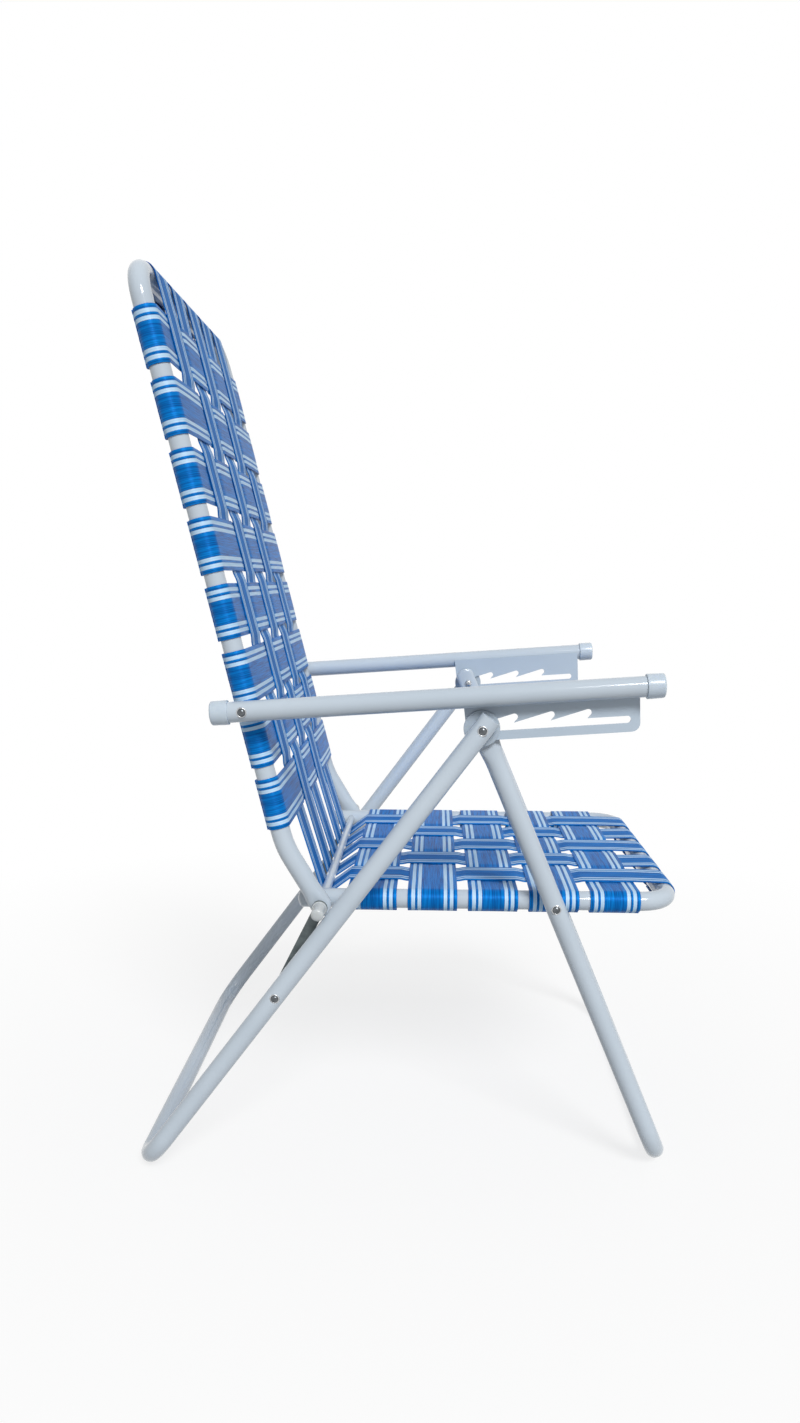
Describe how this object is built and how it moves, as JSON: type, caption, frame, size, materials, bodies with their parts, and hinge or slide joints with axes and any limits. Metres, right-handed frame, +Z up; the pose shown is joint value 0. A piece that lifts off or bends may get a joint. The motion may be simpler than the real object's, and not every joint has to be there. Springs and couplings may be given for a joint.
{
  "type": "folding lawn chair",
  "caption": "Folding lawn chair with a bent-tube frame, a woven webbing seat and back, and arms whose hooked racks set how far the back reclines.",
  "frame": {"origin": "middle of the footprint, on the floor", "axes": "+X forward, +Y to the sitter's left, +Z up"},
  "size_m": [0.6398, 0.5686, 1.0077],
  "materials": {
    "frame_coat": "white powder coat on steel tube",
    "white_plastic": "glossy white moulded plastic",
    "bright_steel": "bright plated steel",
    "link_steel": "dark grey flat bar",
    "webbing": "blue woven plastic webbing with white stripes"
  },
  "bodies": {
    "front_legs": {"front_leg_frame": "frame_coat", "leg_rivet_left": "bright_steel", "leg_rivet_right": "bright_steel", "seat_rivet_left": "bright_steel", "seat_rivet_right": "bright_steel", "seat_washer_left": "white_plastic", "seat_washer_right": "white_plastic"},
    "rear_legs": {"rear_leg_frame": "frame_coat", "link_rivet_left": "bright_steel", "link_rivet_right": "bright_steel"},
    "seat": {"seat_frame": "frame_coat", "seat_cross_strap_1": "webbing", "seat_cross_strap_2": "webbing", "seat_cross_strap_3": "webbing", "seat_cross_strap_4": "webbing", "seat_cross_strap_5": "webbing", "seat_long_strap_1": "webbing", "seat_long_strap_2": "webbing", "seat_long_strap_3": "webbing", "seat_long_strap_4": "webbing", "seat_long_strap_5": "webbing"},
    "rod": {"seat_pivot_rod": "frame_coat", "rod_cap_left": "white_plastic", "rod_cap_right": "white_plastic"},
    "links": {"fold_link_left": "link_steel", "fold_link_right": "link_steel"},
    "back": {"back_frame": "frame_coat", "arm_rivet_tail_left": "bright_steel", "arm_rivet_tail_right": "bright_steel", "back_cross_strap_1": "webbing", "back_cross_strap_2": "webbing", "back_cross_strap_3": "webbing", "back_cross_strap_4": "webbing", "back_cross_strap_5": "webbing", "back_cross_strap_6": "webbing", "back_cross_strap_7": "webbing", "back_cross_strap_8": "webbing", "back_long_strap_1": "webbing", "back_long_strap_2": "webbing", "back_long_strap_3": "webbing", "back_long_strap_4": "webbing", "back_long_strap_5": "webbing"},
    "arm_pivot": {"outer_leg_washer_left": "white_plastic", "outer_leg_washer_right": "white_plastic"},
    "arm_tilt": {"inner_leg_washer_left": "white_plastic", "inner_leg_washer_right": "white_plastic"},
    "arms": {"arm_tube_left": "frame_coat", "arm_tube_right": "frame_coat", "arm_front_cap_left": "white_plastic", "arm_front_cap_right": "white_plastic", "arm_rear_cap_left": "white_plastic", "arm_rear_cap_right": "white_plastic", "recline_rack_left": "frame_coat", "recline_rack_right": "frame_coat", "arm_rivet_left": "bright_steel", "arm_rivet_right": "bright_steel", "arm_spacer_left": "white_plastic", "arm_spacer_right": "white_plastic"}
  },
  "joints": [
    {"name": "fold", "type": "hinge", "parent": "front_legs", "child": "rear_legs", "pos_m": [0.083, 0, 0.535], "axis": [0, -1, 0], "range_deg": [0, 53.6]},
    {"name": "seat_fold", "type": "hinge", "parent": "front_legs", "child": "seat", "pos_m": [0.17097, 0, 0.331], "axis": [0, -1, 0], "range_deg": [0, 90.5]},
    {"name": "rod_turn", "type": "hinge", "parent": "seat", "child": "rod", "pos_m": [-0.094, 0, 0.331], "axis": [0, -1, 0], "range_deg": [-86, 0]},
    {"name": "link_swing", "type": "hinge", "parent": "rod", "child": "links", "pos_m": [-0.094, 0, 0.331], "axis": [0, -1, 0], "range_deg": [0, 189.5]},
    {"name": "recline", "type": "hinge", "parent": "rod", "child": "back", "pos_m": [-0.094, 0, 0.331], "axis": [0, -1, 0], "range_deg": [0, 34]},
    {"name": "arm_fold", "type": "hinge", "parent": "front_legs", "child": "arm_pivot", "pos_m": [0.083, 0, 0.535], "axis": [0, -1, 0], "range_deg": [0, 93.5]},
    {"name": "arm_tilt", "type": "hinge", "parent": "arm_pivot", "child": "arm_tilt", "pos_m": [0.083, 0, 0.535], "axis": [0, -1, 0], "range_deg": [0, 11.5]},
    {"name": "arm_slide", "type": "slide", "parent": "arm_tilt", "child": "arms", "axis": [-0.9977, 0, -0.0681], "range_m": [0, 0.117]}
  ],
  "couplings": [
    {"joint": "seat_fold", "follows": "fold", "ratio": 1.6768},
    {"joint": "rod_turn", "follows": "fold", "ratio": -1.5986},
    {"joint": "link_swing", "follows": "fold", "ratio": 3.5272},
    {"joint": "arm_fold", "follows": "fold", "ratio": 1.7318},
    {"joint": "arm_tilt", "follows": "recline", "ratio": 0.33228},
    {"joint": "arm_slide", "follows": "recline", "m_per_rad": 0.19607}
  ]
}
